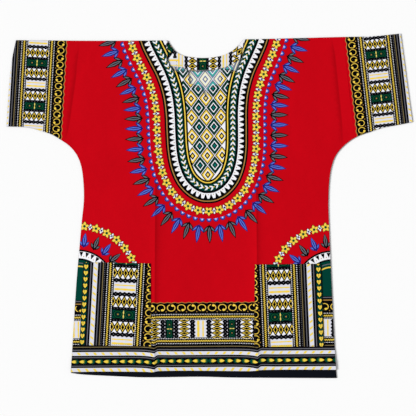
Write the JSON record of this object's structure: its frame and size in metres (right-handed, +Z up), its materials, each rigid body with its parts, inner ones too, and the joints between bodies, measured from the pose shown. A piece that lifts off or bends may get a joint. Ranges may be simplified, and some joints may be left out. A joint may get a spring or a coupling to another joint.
{
  "type": "dashiki shirt",
  "caption": "Loose pullover shirt with short cut-on sleeves, a slit round neck and patch pockets, laid flat with its front up.",
  "frame": {"origin": "middle of the shirt's bounding box, on the surface that it lies on", "axes": "+X across the sleeves towards the viewer's right, +Y from hem to neck, +Z up out of the front"},
  "size_m": [0.9338, 0.7896, 0.0079],
  "materials": {
    "front_cloth": "printed plain-weave cotton, crisp, slight sheen",
    "back_cloth": "printed plain-weave cotton, crisp, slight sheen",
    "border_cloth": "printed plain-weave cotton border strip",
    "pocket_cloth": "printed plain-weave cotton border piece"
  },
  "bodies": {
    "root": {"front": "front_cloth", "back": "back_cloth", "neck_facing": "border_cloth", "pocket_left": "pocket_cloth", "pocket_right": "pocket_cloth"}
  },
  "joints": []
}
